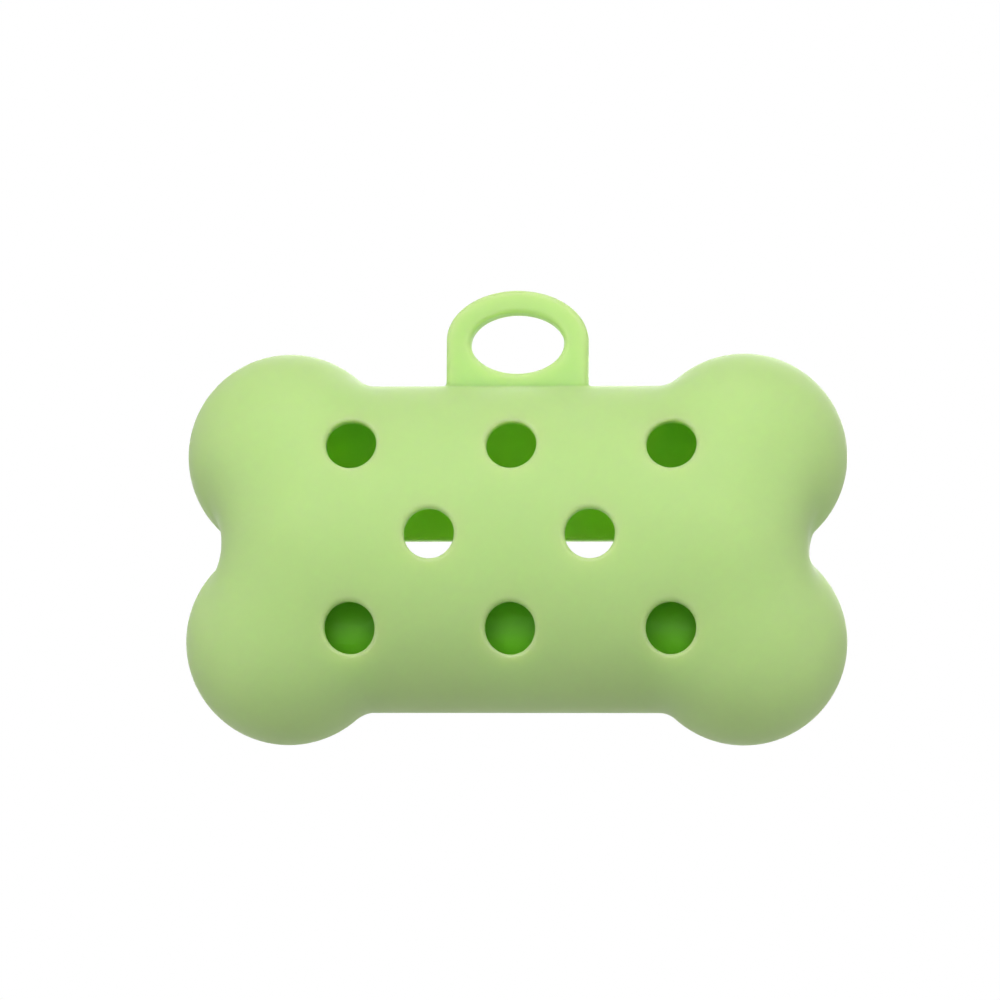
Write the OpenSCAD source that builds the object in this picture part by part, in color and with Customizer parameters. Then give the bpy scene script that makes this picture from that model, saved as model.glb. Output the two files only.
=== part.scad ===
// Bone-shaped silicone holder for a roll of dog waste bags, with a part-used roll inside.
// The holder is one moulded shell: a bone with a hanging loop, eight sight holes in front
// and a long slot behind. The bags are drawn out through the slot.
// Origin: centre of the loop's hole. +X runs along the bone, the front faces -Y, +Z is up.

/* [Bone] */
// Distance of each lobe's centre from the middle, along the bone
lobe_dx = 31.05; // [29:0.05:34]
// Distance of each lobe's centre above or below the middle
lobe_dz = 12.75; // [11.5:0.05:14.5]
// Radius of a lobe
lobe_r = 14.05; // [13:0.05:16]
// Height of the shaft between the lobes
shaft_h = 44.75; // [42:0.25:50]
// Depth of the shaft, front to back
shaft_d = 37; // [34:0.5:42]
// Length of the shaft, which ends inside the lobes
shaft_l = 79.7; // [74:0.1:84]
// Rounding of the shaft's ends
shaft_end_r = 12.75; // [9:0.25:16]
// Thickness of the silicone
wall = 2.5; // [2:0.1:3.2]

/* [Blends] */
// Blend between the shaft and a lobe, at the outline
blend_edge = 0.85; // [0.5:0.05:2]
// Blend between the shaft and a lobe, on the front and back
blend_face = 5.2; // [3:0.1:8]
// Distance from the outline's plane at which the blend has grown to its full size
blend_depth = 14.2; // [10:0.2:18]
// Blend in the notch between two lobes
blend_notch = 1.6; // [0.8:0.1:4]

/* [Hanging loop] */
// Width of the loop
loop_w = 19.4; // [18:0.1:24]
// Thickness of the loop, front to back
loop_t = 4; // [3:0.1:6]
// Width of the loop's oval hole
loop_hole_w = 12.8; // [9:0.1:14]
// Height of the loop's oval hole
loop_hole_h = 8.4; // [6:0.1:10]
// Material over the hole, at the top of the loop
loop_band = 3.1; // [2.4:0.1:5]
// Distance from the shaft up to the hole
loop_lift = 1.7; // [1:0.1:4]
// Height of the arch that rounds the loop's top
loop_arch_h = 6.8; // [5:0.1:9]
// Rounding of the loop's edges
loop_edge_r = 0.8; // [0.3:0.1:1.1]

/* [Sight holes] */
// Diameter of a sight hole
sight_d = 6.8; // [5:0.1:8.5]
// Distance between neighbouring holes in a row
sight_pitch_x = 21.6; // [18:0.1:24]
// Distance between the rows
sight_pitch_z = 12.4; // [10:0.1:14]

/* [Rear slot] */
// Length of the slot, over its round ends
slot_l = 60; // [58:0.5:64]
// Height of the slot
slot_h = 6.6; // [4.5:0.1:8]

/* [Bag roll] */
// Length of the roll, which is also the width of a folded bag
roll_l = 56; // [50:0.5:57]
// Diameter over the bags that are left on the roll
roll_d = 17; // [16:0.1:20]
// Outside diameter of the cardboard core
core_d = 13; // [11:0.1:14]
// Thickness of the cardboard core
core_wall = 0.9; // [0.6:0.1:1.4]
// Clearance between the roll and the holder's floor
roll_clearance = 0.3; // [0.2:0.05:0.5]

/* [Lead bag] */
// Thickness of the lead bag's folded film
film_t = 0.3; // [0.2:0.05:0.5]
// Clearance between the film and the roll it leaves
film_clearance = 0.05; // [0.03:0.01:0.1]
// Clearance under the film where it crosses the slot's lower lip
film_lift = 0.75; // [0.4:0.05:1]
// Distance that the film runs on past the back of the holder
film_reach = 1; // [0.6:0.1:3]
// Radius of the film's bend behind the holder
film_bend_r = 2.5; // [1.5:0.1:4]
// Length of film that hangs below the bend
film_drop = 11; // [5:0.5:15]

/* [Hidden] */
$fn = 64;

// Points round the bone and along it, for the skin and for the cavity
SKIN_GRID = [72, 40];
CAVITY_GRID = [48, 40];
// Points round the loop, and steps in each of its rounded edges
LOOP_STEPS = 64;
EDGE_STEPS = 2;
BEND_STEPS = 8;
// Steps taken along each ray towards the skin, and a length too small to see
RAY_STEPS = 40;
TINY = 0.001;

BAGS_ON_ROLL = 3;
core_r = core_d / 2;
roll_r = roll_d / 2;

// Heights that start with mid_ are measured from the bone's middle
mid_shaft_top = shaft_h / 2;
mid_loop_hole = mid_shaft_top + loop_lift + loop_hole_h / 2;
mid_loop_top = mid_loop_hole + loop_hole_h / 2 + loop_band;
mid_floor = wall - shaft_h / 2;
mid_roll = mid_floor + roll_clearance + roll_r;

// ---------- The bone's form ----------

// The lesser of two distances, with a round blend of size k where they meet
function blend(a, b, k) =
    let (h = max(k - abs(a - b), 0) / k)
    min(a, b) - h * h * k / 4;

// Distance to the lobe above (side 1) or below (side -1) the middle, negative inside
function lobe(p, side) =
    norm([abs(p.x) - lobe_dx, p.y, abs(p.z) - side * lobe_dz]) - lobe_r;

// Distance to the shaft: an oval bar with rounded ends
function shaft(p) =
    let (
        half = [shaft_d / 2, shaft_h / 2],
        y = max(abs(p.y), TINY),
        q = norm([y / half.x, p.z / half.y]),
        slope = norm([y / pow(half.x, 2), p.z / pow(half.y, 2)]),
        side = q * (q - 1) / slope + shaft_end_r,
        end = abs(p.x) - shaft_l / 2 + shaft_end_r
    )
    norm([max(side, 0), max(end, 0)]) + min(max(side, end), 0) - shaft_end_r;

// The blend is tight at the outline and soft on the front and back
function blend_at(y) =
    let (t = min(abs(y) / blend_depth, 1))
    blend_edge + (blend_face - blend_edge) * t * t * (3 - 2 * t);

// Distance to the bone's skin, negative inside
function bone(p) =
    blend(blend(lobe(p, 1), lobe(p, -1), blend_notch), shaft(p), blend_at(p.y));

// How far along dir the skin lies from the middle, for a skin set in by inset
function reach(dir, inset, r, steps = RAY_STEPS) =
    steps == 0 ? r : reach(dir, inset, r - bone(r * dir) - inset, steps - 1);

// Angle from the bone's axis at a share of the way from its tip to its middle.
// The angles pass through the lobe's side, its top and the crease, where the form turns most.
crease_x = lobe_dx - sqrt(max(pow(lobe_r, 2) - pow(shaft_h / 2 - lobe_dz, 2), 0));
STATIONS = [
    [0, 0],
    [0.2, atan2(lobe_dz, lobe_dx + lobe_r)],
    [0.55, atan2(lobe_dz + lobe_r, lobe_dx)],
    [0.7, atan2(shaft_h / 2, crease_x)],
    [1, 90]
];
function station(t) = t <= 0.5 ? lookup(2 * t, STATIONS) : 180 - lookup(2 - 2 * t, STATIONS);

// A closed skin of the bone, set in by inset, on a grid of [round, along] points
module bone_solid(inset, grid) {
    round_n = grid[0];
    along_n = grid[1];
    start_r = norm([lobe_dx, lobe_dz]) + lobe_r;
    function on_skin(dir) = dir * reach(dir, inset, start_r);
    rings = [
        for (i = [1:along_n - 1], j = [0:round_n - 1])
            let (along = station(i / along_n), turn = 360 * j / round_n)
            on_skin([-cos(along), sin(along) * cos(turn), sin(along) * sin(turn)])
    ];
    tips = [on_skin([-1, 0, 0]), on_skin([1, 0, 0])];
    last = (along_n - 2) * round_n;
    polyhedron(
        points = concat(rings, tips),
        faces = concat(
            grid_faces(along_n - 1, round_n, closed = false),
            [for (j = [0:round_n - 1]) [len(rings), j, (j + 1) % round_n]],
            [for (j = [0:round_n - 1]) [len(rings) + 1, last + (j + 1) % round_n, last + j]]
        ),
        convexity = 6
    );
}

// Triangles between neighbouring rings of n points. A closed grid joins its last ring to its first.
function grid_faces(rings, n, closed) = [
    for (i = [0:rings - (closed ? 1 : 2)], j = [0:n - 1])
        let (a = i * n, b = (i + 1) % rings * n, k = (j + 1) % n)
        each [[a + j, b + j, b + k], [a + j, b + k, a + k]]
];

// ---------- The hanging loop ----------

loop_half_w = loop_w / 2;
arch_rise = mid_loop_top - loop_arch_h - mid_loop_hole;
// The loop's foot ends halfway through the wall
loop_foot = mid_loop_hole - (mid_shaft_top - wall / 2);

// Distance from the hole's centre to its edge
function hole_edge(a) = 1 / norm([cos(a) / (loop_hole_w / 2), sin(a) / (loop_hole_h / 2)]);

// Distance from the hole's centre to the loop's outer edge: straight sides, a foot and an arch
function outer_edge(a) =
    let (side = loop_half_w / max(abs(cos(a)), TINY))
    sin(a) * side > arch_rise ? arch_edge(a) :
    min(side, sin(a) < 0 ? -loop_foot / sin(a) : side);

function arch_edge(a) =
    let (
        qa = pow(cos(a) / loop_half_w, 2) + pow(sin(a) / loop_arch_h, 2),
        qb = -2 * sin(a) * arch_rise / pow(loop_arch_h, 2),
        qc = pow(arch_rise / loop_arch_h, 2) - 1
    )
    (-qb + sqrt(qb * qb - 4 * qa * qc)) / (2 * qa);

// Rounded section of the loop's band: [share of the band's width, inset from that edge, y]
LOOP_SECTION = [
    for (corner = [0:3], k = [0:EDGE_STEPS])
        let (
            a = 90 * (corner + k / EDGE_STEPS),
            outer = corner == 1 || corner == 2 ? 1 : 0,
            front = corner < 2 ? -1 : 1
        )
        [outer, loop_edge_r * (1 - abs(cos(a))), front * (loop_t / 2 - loop_edge_r * (1 - abs(sin(a))))]
];

module hanging_loop() {
    n = len(LOOP_SECTION);
    points = [
        for (i = [0:LOOP_STEPS - 1], s = LOOP_SECTION)
            let (
                a = 360 * i / LOOP_STEPS,
                r = s[0] == 0 ? hole_edge(a) + s[1] : outer_edge(a) - s[1]
            )
            [r * cos(a), s[2], r * sin(a)]
    ];
    polyhedron(points = points, faces = grid_faces(LOOP_STEPS, n, closed = true), convexity = 4);
}

// ---------- The silicone body ----------

// Eight holes: three above, two in the middle, three below
module sight_holes() {
    for (row = [-1:1]) {
        count = row == 0 ? 2 : 3;
        for (i = [0:count - 1])
            translate([(i - (count - 1) / 2) * sight_pitch_x, 0, row * sight_pitch_z])
                rotate([90, 0, 0])
                    cylinder(h = shaft_d, d = sight_d);
    }
}

module rear_slot() {
    straight = slot_l - slot_h;
    translate([-straight / 2, 0, -slot_h / 2])
        cube([straight, shaft_d, slot_h]);
    for (side = [-1, 1])
        translate([side * straight / 2, 0, 0])
            rotate([-90, 0, 0])
                cylinder(h = shaft_d, d = slot_h);
}

module silicone_body() {
    color([0.76, 0.89, 0.58])
        difference() {
            union() {
                translate([0, 0, -mid_loop_hole])
                    bone_solid(0, SKIN_GRID);
                hanging_loop();
            }
            translate([0, 0, -mid_loop_hole]) {
                bone_solid(wall, CAVITY_GRID);
                sight_holes();
                rear_slot();
            }
        }
}

// ---------- The bag roll ----------

// The bags wind on with equal lengths of film, so each takes an equal area of the roll's end
function turns_r(bags) = sqrt(pow(core_r, 2) + bags / BAGS_ON_ROLL * (pow(roll_r, 2) - pow(core_r, 2)));

// A tube along the roll's axis
module roll_tube(inner_r, outer_r) {
    translate([0, 0, mid_roll - mid_loop_hole])
        rotate([0, 90, 0])
            difference() {
                cylinder(h = roll_l, r = outer_r, center = true);
                cylinder(h = roll_l + 2, r = inner_r, center = true);
            }
}

module roll_core() {
    color([0.72, 0.58, 0.42])
        roll_tube(core_r - core_wall, core_r);
}

module last_bag() {
    color([0.40, 0.70, 0.20])
        roll_tube(turns_r(0), turns_r(1));
}

module middle_bag() {
    color([0.44, 0.76, 0.22])
        roll_tube(turns_r(1), turns_r(2));
}

module lead_bag_turns() {
    color([0.48, 0.82, 0.24])
        roll_tube(turns_r(2), turns_r(3));
}

// ---------- The lead bag's free film ----------

// The film's middle line in [y, height from the bone's middle]: straight from the roll to the
// slot's lower lip, over it, round a bend and down behind the holder
film_r = roll_r + film_clearance + film_t / 2;
film_slot_z = film_lift - slot_h / 2 + film_t / 2;
film_lip = [shaft_d / 2 - wall, film_slot_z];
film_out = [shaft_d / 2 + film_reach, film_slot_z];
lip_from_roll = film_lip - [0, mid_roll];
film_leaves = atan2(lip_from_roll.y, lip_from_roll.x) + acos(film_r / norm(lip_from_roll));

FILM_LINE = concat(
    [[film_r * cos(film_leaves), mid_roll + film_r * sin(film_leaves)], film_lip],
    [
        for (i = [0:BEND_STEPS])
            let (a = 90 - 90 * i / BEND_STEPS)
            film_out + film_bend_r * [cos(a), sin(a) - 1]
    ],
    [film_out + [film_bend_r, -film_bend_r - film_drop]]
);

// Unit normal of a line of points at point i
function line_normal(line, i) =
    let (
        before = line[max(i - 1, 0)],
        after = line[min(i + 1, len(line) - 1)],
        run = (after - before) / norm(after - before)
    )
    [-run.y, run.x];

module lead_bag_tail() {
    half = film_t / 2;
    top = [for (i = [0:len(FILM_LINE) - 1]) FILM_LINE[i] + half * line_normal(FILM_LINE, i)];
    under = [for (i = [len(FILM_LINE) - 1:-1:0]) FILM_LINE[i] - half * line_normal(FILM_LINE, i)];
    color([0.48, 0.82, 0.24])
        translate([-roll_l / 2, 0, -mid_loop_hole])
            rotate([90, 0, 90])
                linear_extrude(height = roll_l)
                    polygon(concat(top, under));
}

silicone_body();
roll_core();
last_bag();
middle_bag();
lead_bag_turns();
lead_bag_tail();
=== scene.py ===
"""Looks of a bone-shaped silicone bag holder and the part-used roll of bags inside it.

The silicone body, the roll and its bags replace their CAD nodes with finer meshes of the
same form. Sizes in capitals are in millimetres, and every mesh is made in metres.
Heights that start with MID_ are measured from the bone's middle.
"""
import math

import bpy
import numpy as np
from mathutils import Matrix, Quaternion, Vector


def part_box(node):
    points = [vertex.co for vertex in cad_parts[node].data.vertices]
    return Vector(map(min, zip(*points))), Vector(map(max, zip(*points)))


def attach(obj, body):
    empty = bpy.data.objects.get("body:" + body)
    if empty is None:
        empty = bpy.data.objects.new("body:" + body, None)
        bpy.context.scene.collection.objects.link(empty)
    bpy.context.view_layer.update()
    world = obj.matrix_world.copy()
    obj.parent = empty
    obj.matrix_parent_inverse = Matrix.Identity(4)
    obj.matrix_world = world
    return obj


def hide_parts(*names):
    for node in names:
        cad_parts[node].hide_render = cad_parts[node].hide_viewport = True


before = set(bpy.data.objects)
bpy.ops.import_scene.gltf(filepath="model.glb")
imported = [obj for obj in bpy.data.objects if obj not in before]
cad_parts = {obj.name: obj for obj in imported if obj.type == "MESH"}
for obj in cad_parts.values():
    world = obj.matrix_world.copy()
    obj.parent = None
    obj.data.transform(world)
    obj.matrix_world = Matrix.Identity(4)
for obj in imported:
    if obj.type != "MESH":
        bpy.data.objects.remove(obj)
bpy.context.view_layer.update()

MM = 0.001
# Stands in for zero where it would be divided by, and for a distance out of reach
TINY, FAR = 1e-4, 1e3

# ---------- Sizes of the moulding, as in the part's source ----------

LOBE_DX, LOBE_DZ, LOBE_R = 31.05, 12.75, 14.05
SHAFT_H, SHAFT_D, SHAFT_L, SHAFT_END_R = 44.75, 37.0, 79.7, 12.75
WALL = 2.5
BLEND_EDGE, BLEND_FACE, BLEND_DEPTH, BLEND_NOTCH = 0.85, 5.2, 14.2, 1.6
LOOP_W, LOOP_T, LOOP_EDGE_R = 19.4, 4.0, 0.8
LOOP_HOLE_W, LOOP_HOLE_H = 12.8, 8.4
LOOP_BAND, LOOP_LIFT, LOOP_ARCH_H = 3.1, 1.7, 6.8
LOOP_FOOT_R = 0.5
SIGHT_D, SIGHT_PITCH_X, SIGHT_PITCH_Z = 6.8, 21.6, 12.4
SIGHT_RIM_R = 0.6
SLOT_L, SLOT_H = 60.0, 6.6
SLOT_RIM_R = 0.5

MID_SHAFT_TOP = SHAFT_H / 2
MID_LOOP_HOLE = MID_SHAFT_TOP + LOOP_LIFT + LOOP_HOLE_H / 2
MID_LOOP_TOP = MID_LOOP_HOLE + LOOP_HOLE_H / 2 + LOOP_BAND

# Size of a cell in the grid that the moulding is meshed on, and cells past its box
CELL = 0.36
MARGIN_CELLS = 3

# ---------- Sizes of the roll, from its CAD nodes ----------


def node_mm(node):
    """The lowest and highest corners of a CAD node in millimetres."""
    low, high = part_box(node)
    return np.array(low) / MM, np.array(high) / MM


core_low, core_high = node_mm("roll_core")
AXIS_Z = (core_low[2] + core_high[2]) / 2
ROLL_L = core_high[0] - core_low[0]
CORE_R = (core_high[2] - core_low[2]) / 2
CORE_WALL = 0.9


def outer_radius(node):
    low, high = node_mm(node)
    return (high[2] - low[2]) / 2


# ---------- Camera ----------

# The view that fits the photograph: distance and direction of the camera from the bone's
# middle, its roll, and the point above and left of that middle which lies at the
# picture's centre
CAMERA_DISTANCE = 900.0
CAMERA_AZIMUTH, CAMERA_ELEVATION, CAMERA_ROLL = 3.34, -7.14, 0.38
FRAME_WIDTH = 136.57
AIM_LEFT, AIM_UP = 2.32, 6.73
SENSOR = 36.0
CLIP_NEAR, CLIP_FAR = 0.01, 20


def add_camera():
    a, e = math.radians(CAMERA_AZIMUTH), math.radians(CAMERA_ELEVATION)
    back = Vector((math.sin(a) * math.cos(e), -math.cos(a) * math.cos(e), math.sin(e)))
    right = Vector((math.cos(a), math.sin(a), 0))
    up = back.cross(right)
    middle = Vector((0, 0, -MID_LOOP_HOLE))
    place = middle + CAMERA_DISTANCE * back
    target = middle - AIM_LEFT * right + AIM_UP * up
    data = bpy.data.cameras.new("camera")
    data.sensor_width = SENSOR
    data.lens = SENSOR * CAMERA_DISTANCE / FRAME_WIDTH
    data.clip_start, data.clip_end = CLIP_NEAR, CLIP_FAR
    camera = bpy.data.objects.new("camera", data)
    bpy.context.scene.collection.objects.link(camera)
    camera.location = place * MM
    camera.rotation_mode = "QUATERNION"
    level = (target - place).to_track_quat("-Z", "Y")
    camera.rotation_quaternion = level @ Quaternion((0, 0, 1), math.radians(CAMERA_ROLL))
    bpy.context.scene.camera = camera


add_camera()

# ---------- The moulding as a distance field, negative inside ----------


def blend(a, b, k):
    """The lesser of two distances, with a round blend of size k where they meet."""
    h = np.maximum(k - np.abs(a - b), 0) / k
    return np.minimum(a, b) - h * h * k / 4


def round_join(a, b, r):
    """Two solids joined with a fillet of radius r."""
    near = np.hypot(np.maximum(r - a, 0), np.maximum(r - b, 0))
    return np.maximum(r, np.minimum(a, b)) - near


def round_common(a, b, r):
    """What two solids share, with its edge rounded to radius r."""
    return -round_join(-a, -b, r)


def oval(u, v, a, b):
    """Distance to an ellipse of half axes a and b."""
    u = np.maximum(np.abs(u), TINY)
    q = np.hypot(u / a, v / b)
    slope = np.hypot(u / a**2, v / b**2)
    return q * (q - 1) / slope


def bone(x, y, z):
    """The bone's skin, with z measured from its middle."""
    ax = np.abs(x)
    upper, lower = [
        np.sqrt((ax - LOBE_DX) ** 2 + y**2 + (np.abs(z) - side * LOBE_DZ) ** 2) - LOBE_R
        for side in (1, -1)
    ]
    lobes = blend(upper, lower, BLEND_NOTCH)
    end = ax - SHAFT_L / 2
    shaft = round_common(oval(y, z, SHAFT_D / 2, SHAFT_H / 2), end, SHAFT_END_R)
    t = np.minimum(np.abs(y) / BLEND_DEPTH, 1)
    k = BLEND_EDGE + (BLEND_FACE - BLEND_EDGE) * t * t * (3 - 2 * t)
    return blend(lobes, shaft, k)


def loop(x, y, z):
    """The hanging loop: an arch with straight sides and an oval hole."""
    arch_z = MID_LOOP_TOP - LOOP_ARCH_H
    foot_z = MID_SHAFT_TOP - WALL / 2
    arch = oval(x, z - arch_z, LOOP_W / 2, LOOP_ARCH_H)
    sides = np.maximum(np.abs(x) - LOOP_W / 2, z - arch_z)
    outline = np.maximum(np.minimum(arch, sides), foot_z - z)
    hole = oval(x, z - MID_LOOP_HOLE, LOOP_HOLE_W / 2, LOOP_HOLE_H / 2)
    flat = np.maximum(outline, -hole)
    return round_common(flat, np.abs(y) - LOOP_T / 2, LOOP_EDGE_R)


def sight_centres():
    """x and z of the eight sight holes: three above, two in the middle, three below."""
    for row in (-1, 0, 1):
        count = 2 if row == 0 else 3
        for i in range(count):
            yield (i - (count - 1) / 2) * SIGHT_PITCH_X, row * SIGHT_PITCH_Z


def sight_holes(x, y, z):
    nearest = np.full(np.shape(x), FAR)
    for hx, hz in sight_centres():
        nearest = np.minimum(nearest, np.hypot(x - hx, z - hz) - SIGHT_D / 2)
    return np.maximum(nearest, y)


def rear_slot(x, y, z):
    straight = (SLOT_L - SLOT_H) / 2
    along = np.maximum(np.abs(x) - straight, 0)
    return np.maximum(np.hypot(along, z) - SLOT_H / 2, -y)


def moulding(x, y, z):
    """The whole silicone body, with z measured from the bone's middle."""
    skin = bone(x, y, z)
    solid = round_join(skin, loop(x, y, z), LOOP_FOOT_R)
    shell = np.maximum(solid, -(skin + WALL))
    pierced = round_common(shell, -sight_holes(x, y, z), SIGHT_RIM_R)
    return round_common(pierced, -rear_slot(x, y, z), SLOT_RIM_R)


# ---------- Meshing ----------

# Corners of a cell, and its twelve edges as pairs of corners
CORNERS = [(i, j, k) for i in (0, 1) for j in (0, 1) for k in (0, 1)]
EDGES = [
    (a, b)
    for a in range(8)
    for b in range(a + 1, 8)
    if sum(abs(p - q) for p, q in zip(CORNERS[a], CORNERS[b])) == 1
]


def surface_net(field, low, high, cell):
    """Points and quads of the surface where field is zero: one point in each cell it crosses."""
    axes = [np.arange(l, h + cell, cell) for l, h in zip(low, high)]
    values = field(*np.meshgrid(*axes, indexing="ij"))
    inside = values < 0
    shape = tuple(n - 1 for n in values.shape)
    views = [tuple(slice(c, c + n) for c, n in zip(corner, shape)) for corner in CORNERS]
    count = sum(inside[v].astype(np.int8) for v in views)
    cells = np.argwhere((count > 0) & (count < 8))
    corner_values = np.stack([values[v][tuple(cells.T)] for v in views], axis=1)
    total, crossings = np.zeros((len(cells), 3)), np.zeros(len(cells))
    for a, b in EDGES:
        fa, fb = corner_values[:, a], corner_values[:, b]
        crossed = (fa < 0) != (fb < 0)
        share = np.where(crossed, fa / np.where(crossed, fa - fb, 1), 0)[:, None]
        ends = np.array(CORNERS[a]), np.array(CORNERS[b])
        total += np.where(crossed[:, None], ends[0] + share * (ends[1] - ends[0]), 0)
        crossings += crossed
    points = np.array([a[0] for a in axes]) + cell * (cells + total / crossings[:, None])
    index = np.full(shape, -1)
    index[tuple(cells.T)] = np.arange(len(cells))
    return points, net_quads(inside, index)


def net_quads(inside, index):
    """A quad round every grid edge that the surface crosses, wound to face outwards."""
    quads = []
    for axis in range(3):
        u, v = (axis + 1) % 3, (axis + 2) % 3
        first = [slice(1, -1)] * 3
        second = [slice(1, -1)] * 3
        first[axis], second[axis] = slice(0, -1), slice(1, None)
        leaving = inside[tuple(first)] & ~inside[tuple(second)]
        entering = ~inside[tuple(first)] & inside[tuple(second)]
        for found, turn in ((leaving, 1), (entering, -1)):
            at = np.argwhere(found)
            at[:, u] += 1
            at[:, v] += 1
            ring = []
            for du, dv in ((0, 0), (-1, 0), (-1, -1), (0, -1))[::turn]:
                cell = at.copy()
                cell[:, u] += du
                cell[:, v] += dv
                ring.append(index[tuple(cell.T)])
            quads.append(np.stack(ring, axis=1))
    return np.concatenate(quads)


# Step over which a slope is measured, and the least square of a slope to divide by
SLOPE_STEP = 0.02
LEAST_SLOPE_SQUARE = 0.1


def gradient(field, points):
    """The field's slope at each point."""
    slopes = []
    for axis in range(3):
        shift = np.zeros(3)
        shift[axis] = SLOPE_STEP
        ahead, behind = field(*(points + shift).T), field(*(points - shift).T)
        slopes.append((ahead - behind) / (2 * SLOPE_STEP))
    return np.stack(slopes, axis=1)


def settle(field, points, rounds=4):
    """Moves points onto the surface where field is zero."""
    for _ in range(rounds):
        slope = gradient(field, points)
        square = np.maximum((slope**2).sum(axis=1), LEAST_SLOPE_SQUARE)
        points = points - (field(*points.T) / square)[:, None] * slope
    return points


def mesh_object(name, points, faces, normals=None):
    """An object from points in millimetres and faces that all have as many corners."""
    mesh = bpy.data.meshes.new(name)
    count, corners = faces.shape
    mesh.vertices.add(len(points))
    mesh.vertices.foreach_set("co", (points * MM).astype(np.float32).ravel())
    mesh.loops.add(count * corners)
    mesh.loops.foreach_set("vertex_index", faces.astype(np.int32).ravel())
    mesh.polygons.add(count)
    starts = np.arange(0, count * corners, corners, dtype=np.int32)
    mesh.polygons.foreach_set("loop_start", starts)
    mesh.update(calc_edges=True)
    mesh.validate()
    mesh.shade_smooth()
    if normals is not None:
        mesh.normals_split_custom_set_from_vertices(normals)
    obj = bpy.data.objects.new(name, mesh)
    bpy.context.scene.collection.objects.link(obj)
    return obj


# ---------- Materials ----------


def new_material(name):
    """A material with a Principled shader: the material, its nodes, its links and the shader."""
    material = bpy.data.materials.new(name)
    material.use_nodes = True
    tree = material.node_tree
    return material, tree.nodes, tree.links, tree.nodes["Principled BSDF"]


def noise(nodes, links, scale, detail=2, stretch=(1, 1, 1)):
    """A noise value that is fixed to the object."""
    place = nodes.new("ShaderNodeTexCoord")
    mapping = nodes.new("ShaderNodeMapping")
    mapping.inputs["Scale"].default_value = stretch
    texture = nodes.new("ShaderNodeTexNoise")
    texture.inputs["Scale"].default_value = scale
    texture.inputs["Detail"].default_value = detail
    links.new(place.outputs["Object"], mapping.inputs["Vector"])
    links.new(mapping.outputs["Vector"], texture.inputs["Vector"])
    return texture.outputs["Fac"]


def ramp(nodes, links, value, low, high, start=0.3, end=0.7):
    """Turns a value into a colour between low and high."""
    node = nodes.new("ShaderNodeValToRGB")
    node.color_ramp.elements[0].position = start
    node.color_ramp.elements[1].position = end
    node.color_ramp.elements[0].color = (*low, 1)
    node.color_ramp.elements[1].color = (*high, 1)
    links.new(value, node.inputs["Fac"])
    return node.outputs["Color"]


def spread(nodes, links, value, low, high):
    """Maps a value from 0..1 to low..high."""
    node = nodes.new("ShaderNodeMapRange")
    node.inputs["To Min"].default_value = low
    node.inputs["To Max"].default_value = high
    links.new(value, node.inputs["Value"])
    return node.outputs["Result"]


def bump(nodes, links, height, distance, strength=1.0, under=None):
    """A bump of that height in metres, over another bump if one is given."""
    node = nodes.new("ShaderNodeBump")
    node.inputs["Distance"].default_value = distance
    node.inputs["Strength"].default_value = strength
    links.new(height, node.inputs["Height"])
    if under is not None:
        links.new(under, node.inputs["Normal"])
    return node.outputs["Normal"]


def crumple(nodes, links, scale):
    """Flat facets with sharp ridges between them, as in crumpled film."""
    place = nodes.new("ShaderNodeTexCoord")
    cells = nodes.new("ShaderNodeTexVoronoi")
    cells.inputs["Scale"].default_value = scale
    links.new(place.outputs["Object"], cells.inputs["Vector"])
    return cells.outputs["Distance"]


def tinted(nodes, links, value, colour, dark, bright):
    """A colour that a value takes from a darker to a brighter shade of it."""
    low, high = [tuple(c * factor for c in colour) for factor in (dark, bright)]
    return ramp(nodes, links, value, low, high)


# The silicone's colour on its skin, and a brighter green painted on its inside: painted light,
# standing in for light that has passed through the wall
SILICONE = (0.485, 0.705, 0.26)
SILICONE_INSIDE_PAINTED_LIGHT = (0.49, 0.79, 0.22)
# Shares of the wall's thickness between which the skin colour turns into the painted inside light
INSIDE_FROM, INSIDE_TO = 0.0, 0.6
# Half width and height of the hair-fine ridge where the mould's halves meet
PARTING_HALF_W, PARTING_H = 0.16, 0.05


def parting_line(nodes, links):
    """1 on the bone's middle plane, falling to 0 at the ridge's half width."""
    place = nodes.new("ShaderNodeTexCoord")
    parts = nodes.new("ShaderNodeSeparateXYZ")
    links.new(place.outputs["Object"], parts.inputs["Vector"])
    side = nodes.new("ShaderNodeMath")
    side.operation = "ABSOLUTE"
    links.new(parts.outputs["Y"], side.inputs[0])
    ridge = nodes.new("ShaderNodeMapRange")
    ridge.interpolation_type = "SMOOTHSTEP"
    ridge.inputs["From Max"].default_value = PARTING_HALF_W * MM
    ridge.inputs["To Min"].default_value = 1
    ridge.inputs["To Max"].default_value = 0
    links.new(side.outputs[0], ridge.inputs["Value"])
    return ridge.outputs["Result"]


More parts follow.
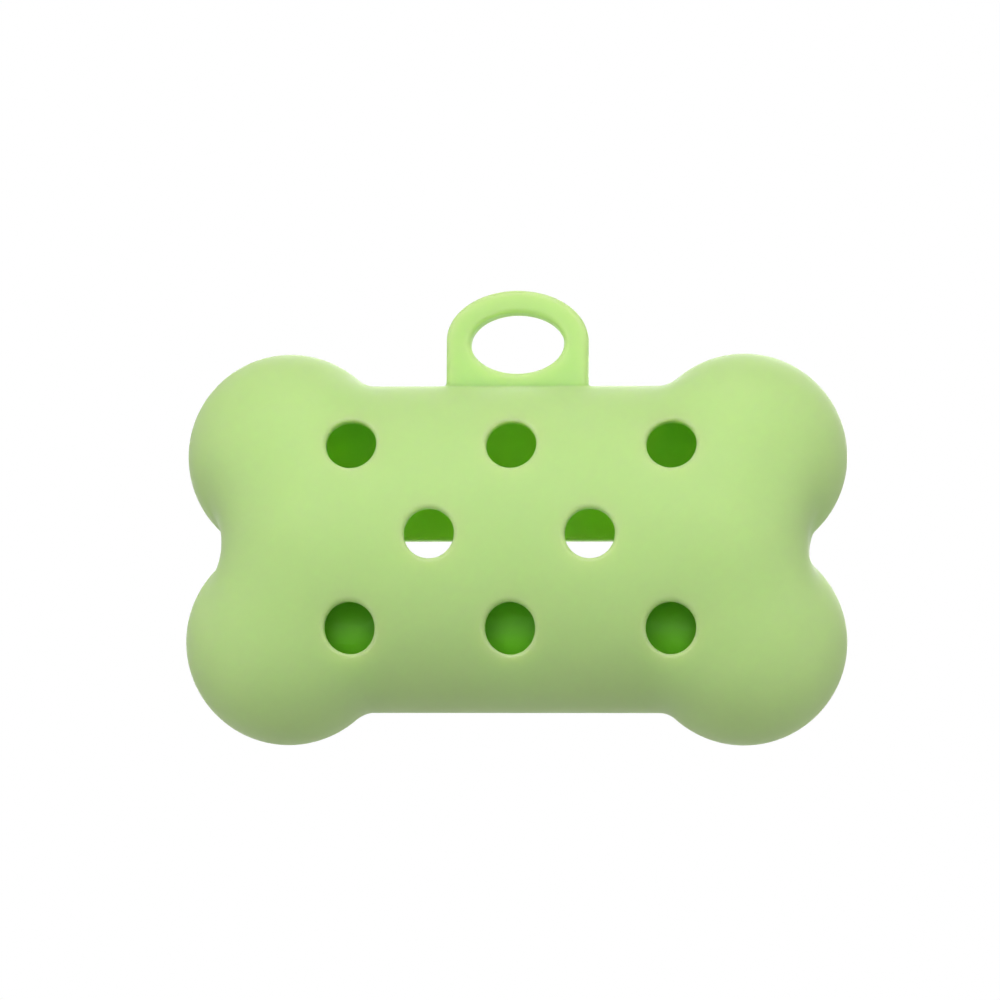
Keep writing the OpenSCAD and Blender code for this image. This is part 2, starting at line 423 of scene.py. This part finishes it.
def silicone_material():
    """Matte moulded silicone: a fine spark-eroded grain, faint mottling, and painted light
    inside, a brighter green for light through the wall.
    """
    material, nodes, links, shader = new_material("silicone")
    mottle = noise(nodes, links, scale=90, detail=3)
    skin = tinted(nodes, links, mottle, SILICONE, dark=0.985, bright=1.015)
    # Painted light: the inner walls take a brighter green that stands in for light passing
    # through the silicone wall
    inside = tinted(nodes, links, mottle, SILICONE_INSIDE_PAINTED_LIGHT, dark=0.97, bright=1.03)
    depth = nodes.new("ShaderNodeAttribute")
    depth.attribute_name = "depth"
    share = nodes.new("ShaderNodeMapRange")
    share.interpolation_type = "SMOOTHSTEP"
    share.inputs["From Min"].default_value = INSIDE_FROM
    share.inputs["From Max"].default_value = INSIDE_TO
    links.new(depth.outputs["Fac"], share.inputs["Value"])
    colour = nodes.new("ShaderNodeMix")
    colour.data_type = "RGBA"
    links.new(share.outputs["Result"], colour.inputs["Factor"])
    links.new(skin, colour.inputs["A"])
    links.new(inside, colour.inputs["B"])
    links.new(colour.outputs["Result"], shader.inputs["Base Color"])
    cloud = noise(nodes, links, scale=260)
    links.new(spread(nodes, links, cloud, low=0.5, high=0.62), shader.inputs["Roughness"])
    ridge = bump(nodes, links, parting_line(nodes, links), distance=PARTING_H * MM)
    grain = noise(nodes, links, scale=3200, detail=1)
    surface = bump(nodes, links, grain, distance=0.000012, strength=0.5, under=ridge)
    links.new(surface, shader.inputs["Normal"])
    shader.inputs["Specular IOR Level"].default_value = 0.2
    shader.inputs["Subsurface Weight"].default_value = 1.0
    shader.inputs["Subsurface Radius"].default_value = (0.9, 1.0, 0.6)
    shader.inputs["Subsurface Scale"].default_value = 0.006
    return material


# The bags' film
FILM = (0.22, 0.71, 0.03)


def film_material():
    """Thin green polyethylene film, with the fine creases that folding and winding leave."""
    material, nodes, links, shader = new_material("bag_film")
    tint = noise(nodes, links, scale=120)
    colour = tinted(nodes, links, tint, FILM, dark=0.9, bright=1.1)
    links.new(colour, shader.inputs["Base Color"])
    ridges = crumple(nodes, links, scale=230)
    facets = bump(nodes, links, ridges, distance=0.0004, strength=0.7)
    creases = noise(nodes, links, scale=500, detail=4, stretch=(0.35, 1, 1))
    coarse = bump(nodes, links, creases, distance=0.0002, strength=0.5, under=facets)
    fine = noise(nodes, links, scale=2200)
    surface = bump(nodes, links, fine, distance=0.00003, strength=0.4, under=coarse)
    links.new(surface, shader.inputs["Normal"])
    links.new(spread(nodes, links, tint, low=0.36, high=0.48), shader.inputs["Roughness"])
    shader.inputs["Specular IOR Level"].default_value = 0.22
    return material


# The roll's core
CARDBOARD = (0.42, 0.27, 0.145)


def cardboard_material():
    """Plain brown cardboard, with short paper fibres."""
    material, nodes, links, shader = new_material("cardboard")
    fibres = noise(nodes, links, scale=900, detail=5, stretch=(1, 0.25, 0.25))
    blotch = noise(nodes, links, scale=130)
    colour = tinted(nodes, links, fibres, CARDBOARD, dark=0.8, bright=1.15)
    links.new(colour, shader.inputs["Base Color"])
    surface = bump(nodes, links, fibres, distance=0.00008, strength=0.6)
    links.new(surface, shader.inputs["Normal"])
    links.new(spread(nodes, links, blotch, low=0.8, high=0.95), shader.inputs["Roughness"])
    shader.inputs["Specular IOR Level"].default_value = 0.2
    return material


# ---------- The silicone body ----------


def row_field(x, y, z):
    """The moulding with z in the row's frame, which starts at the loop's hole."""
    return moulding(x, y, z + MID_LOOP_HOLE)


def add_silicone_body():
    low, high = node_mm("silicone_body")
    margin = MARGIN_CELLS * CELL
    points, quads = surface_net(row_field, low - margin, high + margin, CELL)
    points = settle(row_field, points)
    slope = gradient(row_field, points)
    normals = slope / np.linalg.norm(slope, axis=1)[:, None]
    body = mesh_object("silicone_moulding", points, quads, normals)
    x, y, z = points.T
    # Share of the wall below the skin, which sets where the painted inside light is used
    depth = np.clip(-bone(x, y, z + MID_LOOP_HOLE) / WALL, 0, 1)
    attribute = body.data.attributes.new("depth", "FLOAT", "POINT")
    attribute.data.foreach_set("value", depth.astype(np.float32))
    body.data.materials.append(silicone_material())
    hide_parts("silicone_body")
    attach(body, "holder")


add_silicone_body()

# ---------- The roll ----------


def grid_quads(rows, columns, close_rows=False, close_columns=False):
    """Quads of a grid of points, rows first."""
    i = np.arange(rows if close_rows else rows - 1)
    j = np.arange(columns if close_columns else columns - 1)
    i, j = [g.ravel() for g in np.meshgrid(i, j, indexing="ij")]
    ni, nj = (i + 1) % rows, (j + 1) % columns
    ring = [(i, j), (i, nj), (ni, nj), (ni, j)]
    return np.stack([row * columns + column for row, column in ring], axis=1)


def on_roll(x, radius, angle):
    """Points round the roll's axis. The angle runs from +Y towards +Z."""
    return np.stack([x, radius * np.cos(angle), AXIS_Z + radius * np.sin(angle)], axis=-1)


def closed_strip(line_out, line_in):
    """Points and quads of a strip with thickness: two grids joined round their rims."""
    rows, columns = line_out.shape[:2]
    loop_points = np.concatenate([line_out, line_in[:, ::-1]], axis=1)
    points = loop_points.reshape(-1, 3)
    around = 2 * columns
    quads = [grid_quads(rows, around, close_columns=True)]
    for row, turn in ((0, 1), (rows - 1, -1)):
        j = np.arange(columns - 1)
        cap = np.stack([j, around - 1 - j, around - 2 - j, j + 1], axis=1) + row * around
        quads.append(cap[:, ::turn])
    return points, np.concatenate(quads)


# Thickness of one turn of folded film, and the room for a turn as a multiple of it
FILM_STACK = 0.1
TURN_ROOM = 1.25
# Where a bag's film ends on the roll: at its top
FILM_END = math.radians(90)
# Distance of the film's edges from the roll's ends
BAG_INSET = 0.35
# Its ripples: height, waves in a radian of winding, waves across, and patches across
RIPPLE_H, RIPPLE_WOUND, RIPPLE_ACROSS, RIPPLE_PATCHES = 0.012, 5, 3, 2
# How the turns stray along the roll: distance, and waves in a radian of winding
STRAYS = [(0.22, 1 / 3.7), (0.12, 1.3)]
# Points round one turn, and across the film
TURN_POINTS = 72
TURN_STATIONS = 15


def add_wound_bag(name, node, inner_r, outer_r, seed, film):
    """One bag wound on the roll: its folded film as a spiral that ends at the roll's top."""
    rng = np.random.default_rng(seed)
    turns = round((outer_r - inner_r) / (FILM_STACK * TURN_ROOM))
    steps = turns * TURN_POINTS
    share = np.linspace(0, 1, steps + 1)[:, None]
    across = np.linspace(-1, 1, TURN_STATIONS)[None, :]
    angle = FILM_END + 2 * math.pi * turns * (1 - share) + 0 * across
    middle = inner_r + FILM_STACK / 2 + share * (outer_r - inner_r - FILM_STACK)
    phase = rng.uniform(0, 2 * math.pi, 4)
    wave = np.sin(RIPPLE_ACROSS * across + RIPPLE_WOUND * angle + phase[0])
    patch = np.sin(RIPPLE_PATCHES * across + phase[1])
    middle = middle + RIPPLE_H * wave * patch
    stray = sum(far * np.sin(angle * rate + p) for (far, rate), p in zip(STRAYS, phase[2:]))
    x = across * (ROLL_L / 2 - BAG_INSET) + stray
    outside = on_roll(x, middle + FILM_STACK / 2, angle)
    inside = on_roll(x, middle - FILM_STACK / 2, angle)
    points, quads = closed_strip(outside, inside)
    bag = mesh_object(name, points, quads)
    bag.data.materials.append(film)
    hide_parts(node)
    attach(bag, "roll")


# The groove between the turns of the core's strip
SEAM_PITCH, SEAM_DEPTH, SEAM_HALF_W = 22.0, 0.09, 0.45
# How far the core's ends are worn, and how fast that fades along it
END_WEAR, END_WEAR_L = 0.12, 0.3
# Points round the core and along it
CORE_AROUND, CORE_ALONG = 120, 113


def add_core():
    """The cardboard tube, with the groove that its wound strip leaves and softened ends."""
    angle = np.linspace(0, 2 * math.pi, CORE_AROUND, endpoint=False)[:, None]
    x = np.linspace(-ROLL_L / 2, ROLL_L / 2, CORE_ALONG)[None, :]
    turn = (x / SEAM_PITCH + angle / (2 * math.pi)) % 1
    seam = np.exp(-(((turn - 0.5) * SEAM_PITCH / SEAM_HALF_W) ** 2)) * SEAM_DEPTH
    worn = END_WEAR * np.exp(-(ROLL_L / 2 - np.abs(x)) / END_WEAR_L)
    grid = x + 0 * angle, angle + 0 * x
    outside = on_roll(grid[0], CORE_R - seam - worn, grid[1])
    inside = on_roll(grid[0], CORE_R - CORE_WALL + seam / 2 + worn, grid[1])
    loop_points = np.concatenate([outside, inside[:, ::-1]], axis=1)
    quads = grid_quads(CORE_AROUND, 2 * CORE_ALONG, close_rows=True, close_columns=True)
    core = mesh_object("cardboard_core", loop_points.reshape(-1, 3), quads[:, ::-1])
    core.data.materials.append(cardboard_material())
    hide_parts("roll_core")
    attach(core, "roll")


film = film_material()
add_core()
wound_r = CORE_R
for seed, bag_node in enumerate(["last_bag", "middle_bag", "lead_bag_turns"]):
    bag_outer = outer_radius(bag_node)
    add_wound_bag(f"{bag_node}_film", bag_node, wound_r, bag_outer, seed, film)
    wound_r = bag_outer

# ---------- The lead bag's free film ----------

tail_low, tail_high = node_mm("lead_bag_tail")
# Thickness of the node's film, and the radius of its bend over the slot's lower lip
TAIL_THICK = 0.3
TAIL_BEND_R = 2.5
# Room that is kept behind the loose end for its waves
TAIL_SWAY = 0.8
TAIL_TOP = tail_high[2] - TAIL_THICK / 2
TAIL_BACK = tail_high[1] - TAIL_THICK / 2 - TAIL_SWAY
# Points across the film and along it
TAIL_COLUMNS, TAIL_ROWS = 169, 96
# Distance of the film's edges from the roll's ends
TAIL_INSET = 0.4
# The film's length, as the creases take it
TAIL_RUN = 30
# Share of the film's length at which it comes loose, and how it grows looser from there
LOOSE_FROM, LOOSE_POWER = 0.35, 1.5
# Half a leaf's thickness, and its distance from the middle where the film is tight
LEAF_HALF_T, LEAF_TIGHT = 0.045, 0.055
# At the loose end: what a leaf adds to that distance, by what share and in what waves
# across it this changes, and the leaf's shift along the roll
LEAF_PARTS, LEAF_UNEVEN, LEAF_WAVES, LEAF_SHIFT = 0.22, 0.6, 4.2, 0.25
# Soft waves in the loose film: height, waves across it and along it, and shift
WAVES = [(0.26, 7.5, 0.8, 0), (0.13, 19, -2.5, 1)]
# Sharp creases in it: direction in radians, length of a wave, height and shift
CREASES = [
    (0.2, 11.0, 0.1, 0.3),
    (-0.5, 7.0, 0.07, 0.1),
    (0.9, 9.0, 0.07, 0.6),
    (-1.1, 5.0, 0.04, 0.45),
]
# How far the creases of one leaf lie from the other's
CREASE_SHIFT = 2
# Length of the nibs that tearing along the perforation leaves
NIB = 0.22


def tail_line(steps):
    """The film's middle line in y and z, with its unit normal, from the roll to its free end."""
    flat = TAIL_BACK - TAIL_BEND_R - tail_low[1]
    bend = TAIL_BEND_R * math.pi / 2
    drop = TAIL_TOP - TAIL_BEND_R - tail_low[2]
    s = np.linspace(0, flat + bend + drop, steps)
    angle = np.clip((s - flat) / TAIL_BEND_R, 0, math.pi / 2)
    y = tail_low[1] + np.minimum(s, flat) + TAIL_BEND_R * np.sin(angle)
    z = TAIL_TOP - TAIL_BEND_R * (1 - np.cos(angle)) - np.maximum(s - flat - bend, 0)
    return s / s[-1], y, z, np.sin(angle), np.cos(angle)


def creased(across, along):
    """Height of the sharp creases at a point of the flat film."""
    height = 0
    for turn, wave, depth, shift in CREASES:
        way = (across * math.cos(turn) + along * math.sin(turn)) / wave + shift
        height = height + depth * (1 - 4 * np.abs(way % 1 - 0.5))
    return height


def waved(across, share):
    """Height of the soft waves at a point of the film."""
    return sum(h * np.sin(across * u + share * v + shift) for h, u, v, shift in WAVES)


def add_tail():
    """Folded film in two leaves that part a little towards the torn, perforated end."""
    share, y, z, ny, nz = [v[:, None] for v in tail_line(TAIL_ROWS)]
    across = np.linspace(-1, 1, TAIL_COLUMNS)[None, :]
    loose = np.clip((share - LOOSE_FROM) / (1 - LOOSE_FROM), 0, 1) ** LOOSE_POWER
    half_w = ROLL_L / 2 - TAIL_INSET
    for leaf, side in (("outer", 1), ("inner", -1)):
        uneven = 1 + LEAF_UNEVEN * np.sin(across * LEAF_WAVES + side)
        parting = LEAF_PARTS * loose * uneven
        sharp = creased(across * half_w + CREASE_SHIFT * side, share * TAIL_RUN)
        lift = (waved(across, share) + sharp) * loose + side * (LEAF_TIGHT + parting)
        nib = NIB * (np.arange(TAIL_COLUMNS) % 2)[None, :] * (share == 1)
        x = across * half_w + LEAF_SHIFT * side * loose + 0 * share
        sheets = [
            np.stack([x, y + out * ny, z + out * nz + nib], axis=-1)
            for out in (lift + LEAF_HALF_T, lift - LEAF_HALF_T)
        ]
        points, quads = closed_strip(*sheets)
        tail = mesh_object(f"lead_bag_{leaf}_leaf", points, quads[:, ::-1])
        tail.data.materials.append(film)
        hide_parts("lead_bag_tail")
        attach(tail, "lead_bag")


add_tail()

# ---------- Studio ----------

FLOOR_Z = -0.17
FLOOR_HALF = 4.0
# The floor's grey for light, its grey and glow to the camera, and the distances from the
# middle between which it fades to the backdrop's white
FLOOR_GREY = 0.45
FLOOR_SEEN, FLOOR_GLOW = 0.95, 0.2
FLOOR_FADE = 0.25, 0.9


def when_seen(nodes, links, plain, bright):
    """Mixes two shaders: bright for rays from the camera, in gloss and through glass."""
    path = nodes.new("ShaderNodeLightPath")
    seen = path.outputs["Is Camera Ray"]
    for kind in ("Is Glossy Ray", "Is Transmission Ray"):
        either = nodes.new("ShaderNodeMath")
        either.operation = "MAXIMUM"
        links.new(seen, either.inputs[0])
        links.new(path.outputs[kind], either.inputs[1])
        seen = either.outputs[0]
    mix = nodes.new("ShaderNodeMixShader")
    links.new(seen, mix.inputs["Fac"])
    links.new(plain, mix.inputs[1])
    links.new(bright, mix.inputs[2])
    return mix.outputs["Shader"]


# The sky's brightness at its edge and overhead
SKY_EDGE, SKY_TOP = 0.0, 0.36


def set_world():
    """White to the camera, and a soft sky for light."""
    world = bpy.data.worlds.new("studio")
    bpy.context.scene.world = world
    world.use_nodes = True
    nodes, links = world.node_tree.nodes, world.node_tree.links
    nodes.clear()
    place = nodes.new("ShaderNodeTexCoord")
    parts = nodes.new("ShaderNodeSeparateXYZ")
    links.new(place.outputs["Generated"], parts.inputs["Vector"])
    edge, top = (SKY_EDGE,) * 3, (SKY_TOP,) * 3
    sky = ramp(nodes, links, parts.outputs["Z"], edge, top, start=0.0, end=0.9)
    light = nodes.new("ShaderNodeBackground")
    links.new(sky, light.inputs["Color"])
    white = nodes.new("ShaderNodeBackground")
    white.inputs["Color"].default_value = (1, 1, 1, 1)
    shown = when_seen(nodes, links, light.outputs["Background"], white.outputs["Background"])
    output = nodes.new("ShaderNodeOutputWorld")
    links.new(shown, output.inputs["Surface"])


# Diameter of every lamp, and each one's name, place in metres and power in watts
LAMP_SIZE = 0.7
LAMPS = [
    ("key_front", (0, -0.72, 0.45), 5.0),
    ("low_front", (0, -0.85, 0), 1.25),
    ("side_left", (-0.8, -0.3, 0.1), 1.9),
    ("side_right", (0.8, -0.3, 0.1), 1.9),
    ("fill_back", (0.1, 0.75, 0.35), 3.6),
    ("low_back", (-0.1, 0.83, 0), 1.5),
]


def area_light(name, place, power):
    """A round lamp that faces the bone's middle."""
    data = bpy.data.lights.new(name, "AREA")
    data.shape = "DISK"
    data.size = LAMP_SIZE
    data.energy = power
    lamp = bpy.data.objects.new(name, data)
    bpy.context.scene.collection.objects.link(lamp)
    lamp.location = place
    lamp.rotation_mode = "QUATERNION"
    middle = Vector((0, 0, -MID_LOOP_HOLE * MM))
    lamp.rotation_quaternion = (middle - Vector(place)).to_track_quat("-Z", "Y")


def floor_material():
    """A plain pale floor: shadows near the object, white further out, clear from below."""
    material, nodes, links, shader = new_material("floor")
    nodes.remove(shader)
    plain = nodes.new("ShaderNodeBsdfDiffuse")
    plain.inputs["Color"].default_value = (FLOOR_GREY,) * 3 + (1,)
    near = nodes.new("ShaderNodeBsdfDiffuse")
    near.inputs["Color"].default_value = (FLOOR_SEEN,) * 3 + (1,)
    glow = nodes.new("ShaderNodeEmission")
    glow.inputs["Strength"].default_value = FLOOR_GLOW
    lit = nodes.new("ShaderNodeAddShader")
    links.new(near.outputs["BSDF"], lit.inputs[0])
    links.new(glow.outputs["Emission"], lit.inputs[1])
    white = nodes.new("ShaderNodeEmission")
    place = nodes.new("ShaderNodeTexCoord")
    out = nodes.new("ShaderNodeVectorMath")
    out.operation = "LENGTH"
    links.new(place.outputs["Object"], out.inputs[0])
    fade = nodes.new("ShaderNodeMapRange")
    fade.interpolation_type = "SMOOTHSTEP"
    fade.inputs["From Min"].default_value, fade.inputs["From Max"].default_value = FLOOR_FADE
    links.new(out.outputs["Value"], fade.inputs["Value"])
    seen = nodes.new("ShaderNodeMixShader")
    links.new(fade.outputs["Result"], seen.inputs["Fac"])
    links.new(lit.outputs["Shader"], seen.inputs[1])
    links.new(white.outputs["Emission"], seen.inputs[2])
    shown = when_seen(nodes, links, plain.outputs["BSDF"], seen.outputs["Shader"])
    side = nodes.new("ShaderNodeNewGeometry")
    sheet = nodes.new("ShaderNodeMixShader")
    links.new(side.outputs["Backfacing"], sheet.inputs["Fac"])
    links.new(shown, sheet.inputs[1])
    links.new(nodes.new("ShaderNodeBsdfTransparent").outputs["BSDF"], sheet.inputs[2])
    links.new(sheet.outputs["Shader"], nodes["Material Output"].inputs["Surface"])
    return material


def add_floor():
    mesh = bpy.data.meshes.new("floor")
    square = (-1, -1), (1, -1), (1, 1), (-1, 1)
    corners = [(x * FLOOR_HALF, y * FLOOR_HALF, 0) for x, y in square]
    mesh.from_pydata(corners, [], [(0, 1, 2, 3)])
    floor = bpy.data.objects.new("floor", mesh)
    floor.location.z = FLOOR_Z
    bpy.context.scene.collection.objects.link(floor)
    mesh.materials.append(floor_material())


set_world()
add_floor()
for lamp_name, lamp_place, lamp_power in LAMPS:
    area_light(lamp_name, lamp_place, lamp_power)

scene = bpy.context.scene
scene.view_settings.view_transform = "Standard"
